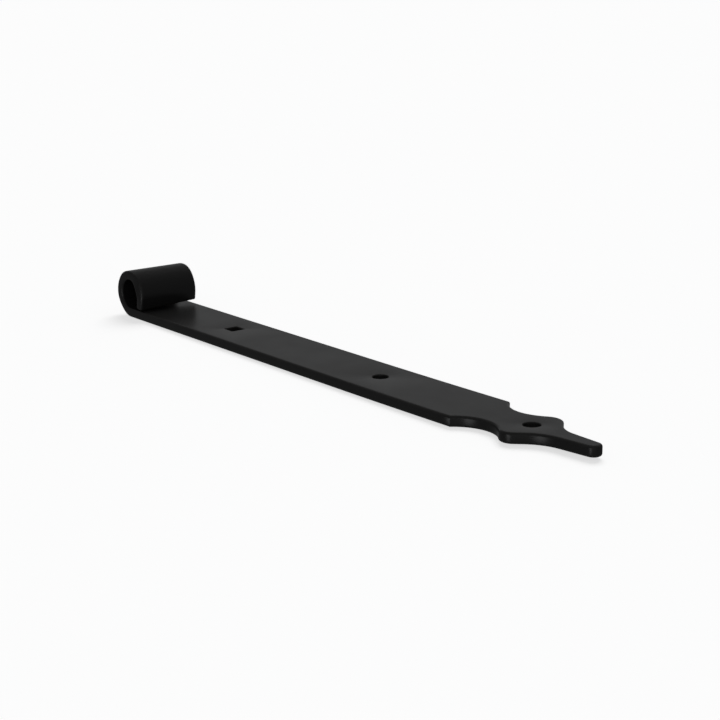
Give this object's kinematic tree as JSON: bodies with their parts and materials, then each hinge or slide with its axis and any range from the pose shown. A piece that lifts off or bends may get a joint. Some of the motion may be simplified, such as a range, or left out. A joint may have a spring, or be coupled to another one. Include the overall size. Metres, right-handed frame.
{
  "type": "strap hinge leaf",
  "caption": "Flat steel strap hinge leaf with a rolled eye for a pintle, a square and round bolt holes, and a lobed spear tip.",
  "frame": {"origin": "on the pin axis of the eye, at mid width of the strap", "axes": "+X along the strap from the eye to the tip, +Y across the strap along the pin axis, +Z away from the back face, on the side the eye is rolled to"},
  "size_m": [0.3437, 0.035, 0.0254],
  "materials": {
    "black_powder_coat": "satin black powder coat on steel"
  },
  "bodies": {
    "root": {"hinge_strap": "black_powder_coat"}
  },
  "joints": []
}
